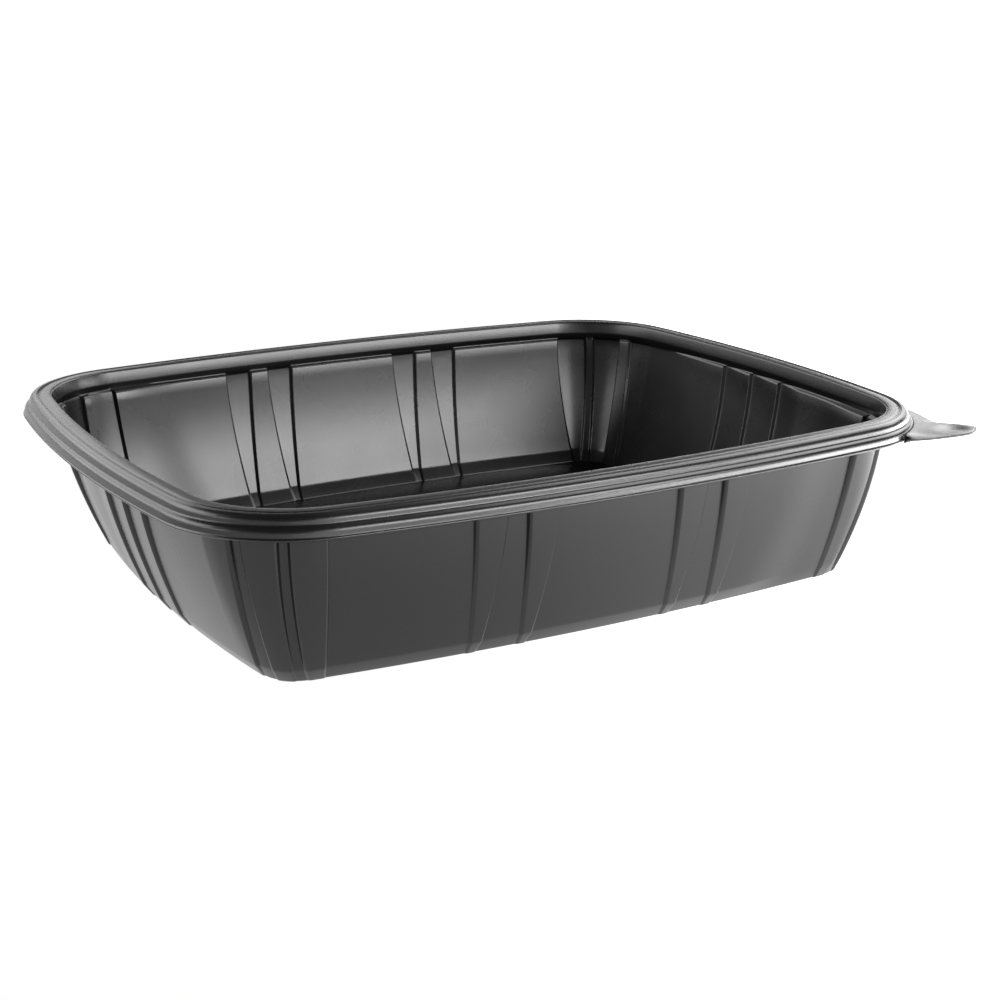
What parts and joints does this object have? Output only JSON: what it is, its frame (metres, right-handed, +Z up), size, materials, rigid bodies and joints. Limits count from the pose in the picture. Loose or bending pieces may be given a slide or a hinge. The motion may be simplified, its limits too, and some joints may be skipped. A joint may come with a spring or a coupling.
{
  "type": "takeaway meal tray",
  "caption": "Open rectangular meal tray formed from one thin black sheet, with ribbed sloping walls, rounded corners, a beaded rim and a small pull tab at one corner.",
  "frame": {"origin": "middle of the flat base's underside, which is where the tray rests", "axes": "+Z up out of the open top, +X along the long side, with the pull tab between +X and -Y"},
  "size_m": [0.2436, 0.1952, 0.0501],
  "materials": {
    "black_polypropylene": "smooth gloss, as formed"
  },
  "bodies": {
    "root": {"tray": "black_polypropylene"}
  },
  "joints": []
}
